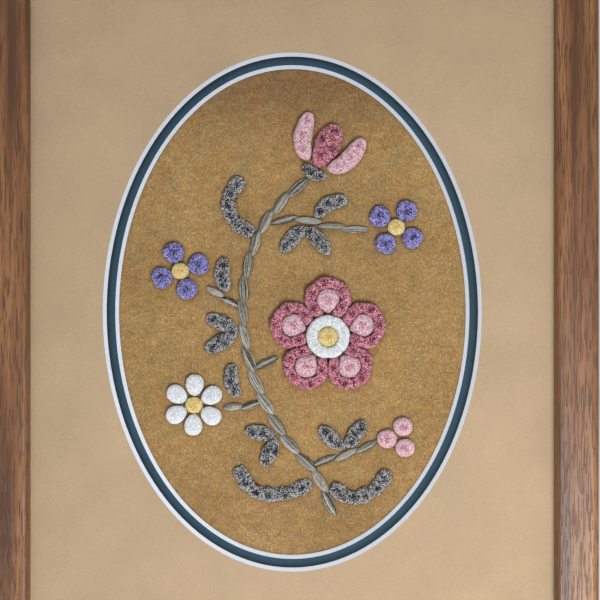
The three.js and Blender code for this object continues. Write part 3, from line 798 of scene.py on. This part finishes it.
def laid_hair_tree():
    """Lays hanks of hair along a path, end to end and a little aslant."""
    tree, given = start_tree("laid_hair", (
        ("Hanks", "Int"), ("Hank width", "Float"), ("Hank height", "Float"), ("Overlap", "Float"),
        ("Slant", "Float"), ("Strands", "Int"), ("Strand width", "Float"), ("Seed", "Int"),
        ("Material", "Material")))
    path = node(tree, "GeometryNodeMeshToCurve", {"Mesh": given["Geometry"]}).outputs[0]
    length = node(tree, "GeometryNodeCurveLength", {"Curve": path}).outputs[0]
    index = node(tree, "GeometryNodeInputIndex").outputs[0]
    share = maths(tree, "DIVIDE", maths(tree, "ADD", index, 0.5), given["Hanks"])
    sample = node(tree, "GeometryNodeSampleCurve", {"Curves": path, "Factor": share}, mode="FACTOR",
                  use_all_curves=True).outputs
    middles = node(tree, "GeometryNodePoints", {"Count": given["Hanks"],
                                                "Position": sample["Position"]}).outputs[0]
    aim = node(tree, "FunctionNodeAxesToRotation", {"Primary Axis": sample["Tangent"],
                                                    "Secondary Axis": (0, -1, 0)},
               primary_axis="X", secondary_axis="Z").outputs[0]
    slant = any_number(tree, -SLANT_STRAY, SLANT_STRAY, given["Seed"])
    aim = turned_on(tree, aim, maths(tree, "ADD", given["Slant"], slant))
    middles = keep_as(tree, middles, "aim", aim, kind="QUATERNION")
    aim = kept_turn(tree, "aim")
    long = maths(tree, "MULTIPLY", maths(tree, "DIVIDE", length, given["Hanks"]), given["Overlap"])

    # one hank, one metre long, its strands in a half round
    line = node(tree, "GeometryNodeCurvePrimitiveLine", {"Start": (-0.5, 0, 0), "End": (0.5, 0, 0)})
    line = line.outputs[0]
    line = node(tree, "GeometryNodeResampleCurve", {"Curve": line, "Count": STRAND_STEPS}).outputs[0]
    fan = node(tree, "GeometryNodeDuplicateElements", {"Geometry": line, "Amount": given["Strands"]},
               domain="SPLINE").outputs
    along = node(tree, "GeometryNodeSplineParameter").outputs["Factor"]
    full = maths(tree, "POWER", maths(tree, "SINE", maths(tree, "MULTIPLY", along, math.pi)), HANK_SWELL)
    full = maths(tree, "MULTIPLY_ADD", full, 1 - HANK_END, HANK_END)
    turn = maths(tree, "ADD", maths(tree, "ADD", fan["Duplicate Index"], 0.5),
                 any_number(tree, -0.5, 0.5, 9, fan["Duplicate Index"]))
    turn = maths(tree, "MULTIPLY", maths(tree, "DIVIDE", turn, given["Strands"]), math.pi)
    rise = maths(tree, "SINE", turn)
    half_width = maths(tree, "SUBTRACT", given["Hank width"], given["Strand width"])
    half_width = maths(tree, "MULTIPLY", half_width, 0.5)
    aside = maths(tree, "MULTIPLY", maths(tree, "MULTIPLY", maths(tree, "COSINE", turn), half_width), full)
    up = maths(tree, "MULTIPLY", maths(tree, "POWER", rise, HANK_ROUND), given["Hank height"])
    up = maths(tree, "MULTIPLY", up, full)

    # a strand is lightest in the middle of its hank and on top of it
    lit = maths(tree, "MULTIPLY_ADD", full, LIT_MIDDLE, maths(tree, "MULTIPLY", rise, LIT_TOP))
    fan = keep_as(tree, fan["Geometry"], "along", maths(tree, "ADD", lit, LIT_LEAST))
    fan = moved(tree, fan, node(tree, "ShaderNodeCombineXYZ", {"Y": aside, "Z": up}).outputs[0])

    # the hanks along the path, their strands stirred a little
    laid = one_at_each(tree, middles, fan, aim, long, 1.0, 1.0)
    laid = node(tree, "GeometryNodeRealizeInstances", {"Geometry": laid}).outputs[0]
    place = node(tree, "GeometryNodeInputPosition").outputs[0]
    laid = moved(tree, laid, vectors(tree, "SCALE", waver(tree, place, STIRS_A_METRE), STIR))
    laid = keep_as(tree, laid, "shade", any_number(tree, 0.0, 1.0, 4, index), "CURVE")
    laid = keep_as(tree, laid, "front", 1.0)
    ring = maths(tree, "MULTIPLY", given["Strand width"], STRAND_RADIUS)
    ring = node(tree, "GeometryNodeCurvePrimitiveCircle", {"Resolution": 3, "Radius": ring}).outputs[0]
    strands = node(tree, "GeometryNodeCurveToMesh", {"Curve": laid, "Profile Curve": ring,
                                                     "Fill Caps": True}).outputs[0]

    # the inside of each hank, painted dark for the shade there
    ball = node(tree, "GeometryNodeMeshUVSphere", {"Segments": 12, "Rings": 8, "Radius": 1}).outputs[0]
    sizes = [maths(tree, "MULTIPLY", size, share)
             for size, share in zip((long, given["Hank width"], given["Hank height"]), FILLING)]
    filling = one_at_each(tree, middles, ball, aim, *sizes)
    end_tree(tree, (strands, filling), given["Material"])
    return tree


def smooth_path(points):
    """Points close together on the smooth curve through a stem's points, at the face of the hide."""
    rows = np.array([points[0], *points, points[-1]], float)
    rows[0], rows[-1] = 2 * rows[1] - rows[2], 2 * rows[-2] - rows[-3]
    path = []
    for a, b, c, d in zip(rows, rows[1:], rows[2:], rows[3:]):
        for t in np.arange(PATH_STEPS) / PATH_STEPS:
            path.append(0.5 * (2 * b + (c - a) * t + (2 * a - 5 * b + 4 * c - d) * t**2
                               + (3 * b - a - 3 * c + d) * t**3))
    path.append(rows[-2])
    return [(u / 1000, HIDE_FRONT + STEM_SINK, OVAL_CENTRE.z + v / 1000) for u, v in path]


laid_hair = laid_hair_tree()
olive_hair = hair_dye("olive_hair", (72, 70, 62), (144, 139, 127), (168, 164, 152), (198, 196, 186), 0.12)
stems = []
for stem_name, (hanks, width, points) in STEM_PATHS.items():
    path = smooth_path(points)
    stem = as_object(stem_name + "_hair", path, edges=[(i, i + 1) for i in range(len(path) - 1)])
    run_tree(stem, laid_hair, {"Hanks": hanks, "Hank width": width / 1000, "Hank height": STEM_HEIGHT,
                               "Overlap": OVERLAP, "Slant": SLANT, "Strands": STRANDS,
                               "Strand width": STRAND_WIDTH, "Seed": len(stems) + 1, "Material": olive_hair})
    stems.append(stem)
whole = bmesh.new()
for stem in stems:
    whole.from_mesh(stem.data)
stem_mesh = stems[0].data.copy()
whole.to_mesh(stem_mesh)
for stem in stems:
    bpy.data.objects.remove(stem)
stem_hair = bpy.data.objects.new("stem_hanks", stem_mesh)
bpy.context.scene.collection.objects.link(stem_hair)
lay_front_map(stem_mesh)
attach(stem_hair, "root")
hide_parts(*STEM_PATHS)
